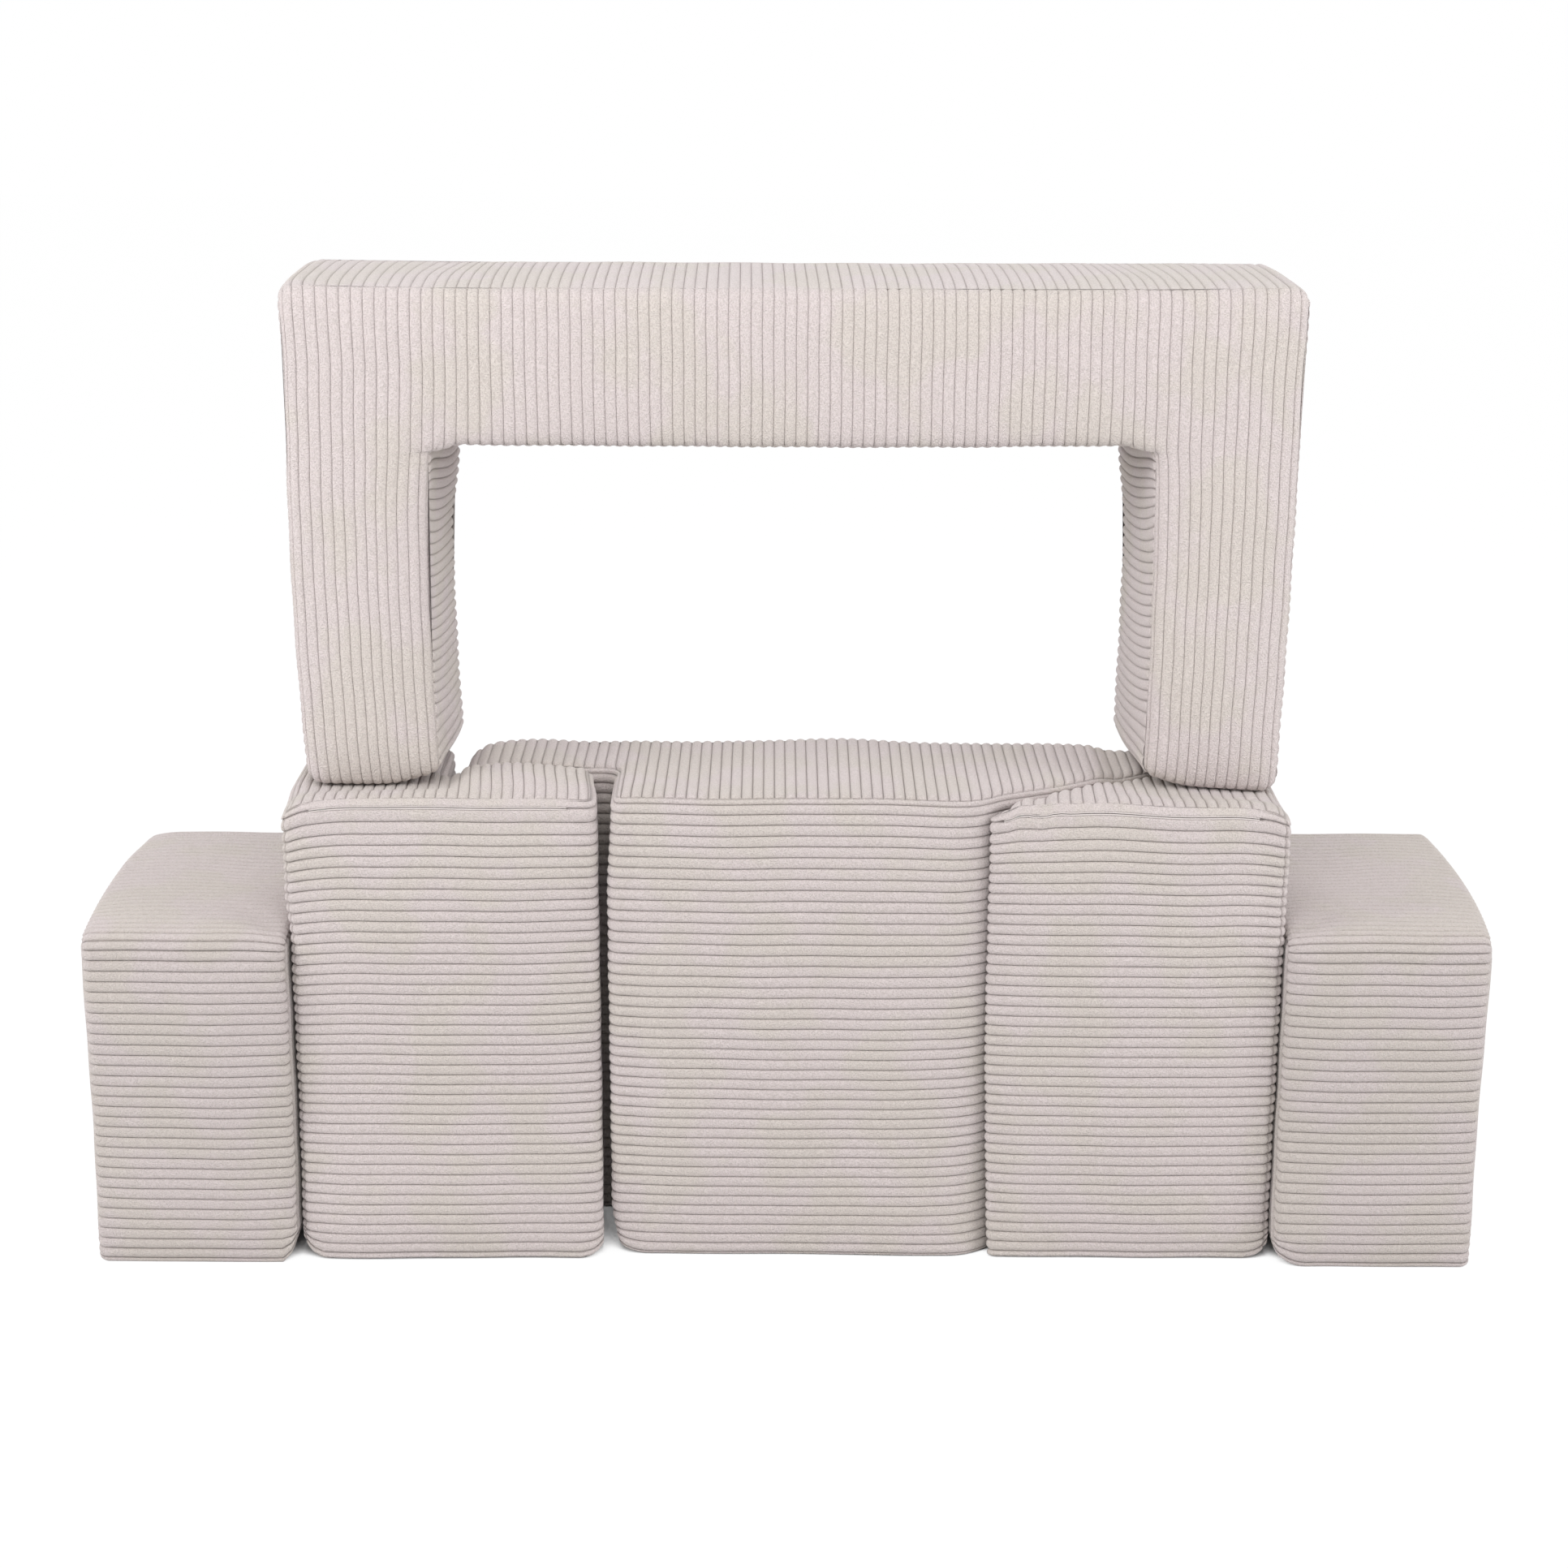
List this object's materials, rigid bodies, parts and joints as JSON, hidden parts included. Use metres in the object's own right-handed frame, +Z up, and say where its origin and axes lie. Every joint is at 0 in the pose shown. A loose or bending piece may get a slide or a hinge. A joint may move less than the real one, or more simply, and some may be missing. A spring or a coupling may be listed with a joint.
{
  "type": "modular foam play sofa",
  "caption": "Modular foam play sofa in wide-wale corduroy, stood up as a tower: stair, ramp, wedge and square blocks in a row with an arch on top.",
  "frame": {"origin": "on the floor, under the middle of the set's bounding box", "axes": "+X to the right along the row, +Y to the back, +Z up; the picture looks along +Y"},
  "size_m": [1.6058, 0.3988, 1.1075],
  "materials": {
    "corduroy": "wide-wale corduroy, matte pile",
    "foam": "open-cell foam, matte",
    "zip_tape": "woven tape with nylon coil",
    "zip_metal": "satin enamel"
  },
  "bodies": {
    "ramp_block": {"ramp_foam": "foam", "ramp_cover": "corduroy", "ramp_zip": "zip_tape"},
    "stair_block": {"stair_foam": "foam", "stair_cover": "corduroy", "stair_zip": "zip_tape"},
    "wedge_block": {"wedge_foam": "foam", "wedge_cover": "corduroy", "wedge_zip": "zip_tape"},
    "left_square_block": {"left_square_foam": "foam", "left_square_cover": "corduroy", "left_square_zip": "zip_tape"},
    "right_square_block": {"right_square_foam": "foam", "right_square_cover": "corduroy", "right_square_zip": "zip_tape"},
    "arch": {"arch_foam": "foam", "arch_cover": "corduroy", "arch_zip": "zip_tape"},
    "ramp_zip_slider": {"ramp_zip_slider": "zip_metal"},
    "stair_zip_slider": {"stair_zip_slider": "zip_metal"},
    "wedge_zip_slider": {"wedge_zip_slider": "zip_metal"},
    "left_square_zip_slider": {"left_square_zip_slider": "zip_metal"},
    "right_square_zip_slider": {"right_square_zip_slider": "zip_metal"},
    "arch_zip_slider": {"arch_zip_slider": "zip_metal"}
  },
  "joints": [
    {"name": "arch_lift", "type": "slide", "parent": "ramp_block", "child": "arch", "axis": [0, 0, 1], "range_m": [0, 0.3]},
    {"name": "stair_pull", "type": "slide", "parent": "ramp_block", "child": "stair_block", "axis": [0, -1, 0], "range_m": [0, 0.3]},
    {"name": "wedge_pull", "type": "slide", "parent": "ramp_block", "child": "wedge_block", "axis": [0, -1, 0], "range_m": [0, 0.3]},
    {"name": "left_square_slide", "type": "slide", "parent": "ramp_block", "child": "left_square_block", "axis": [-1, 0, 0], "range_m": [0, 0.4]},
    {"name": "right_square_slide", "type": "slide", "parent": "ramp_block", "child": "right_square_block", "axis": [1, 0, 0], "range_m": [0, 0.4]},
    {"name": "ramp_zip_slide", "type": "slide", "parent": "ramp_block", "child": "ramp_zip_slider", "axis": [-1, 0, 0], "range_m": [0, 0.694]},
    {"name": "stair_zip_slide", "type": "slide", "parent": "stair_block", "child": "stair_zip_slider", "axis": [1, 0, 0], "range_m": [0, 0.252]},
    {"name": "wedge_zip_slide", "type": "slide", "parent": "wedge_block", "child": "wedge_zip_slider", "axis": [1, 0, 0], "range_m": [0, 0.236]},
    {"name": "left_square_zip_slide", "type": "slide", "parent": "left_square_block", "child": "left_square_zip_slider", "axis": [0, 0, 1], "range_m": [0, 0.282]},
    {"name": "right_square_zip_slide", "type": "slide", "parent": "right_square_block", "child": "right_square_zip_slider", "axis": [0, 0, 1], "range_m": [0, 0.282]},
    {"name": "arch_zip_slide", "type": "slide", "parent": "arch", "child": "arch_zip_slider", "axis": [-0.9999, -0.014, 0], "range_m": [0, 0.642]}
  ]
}
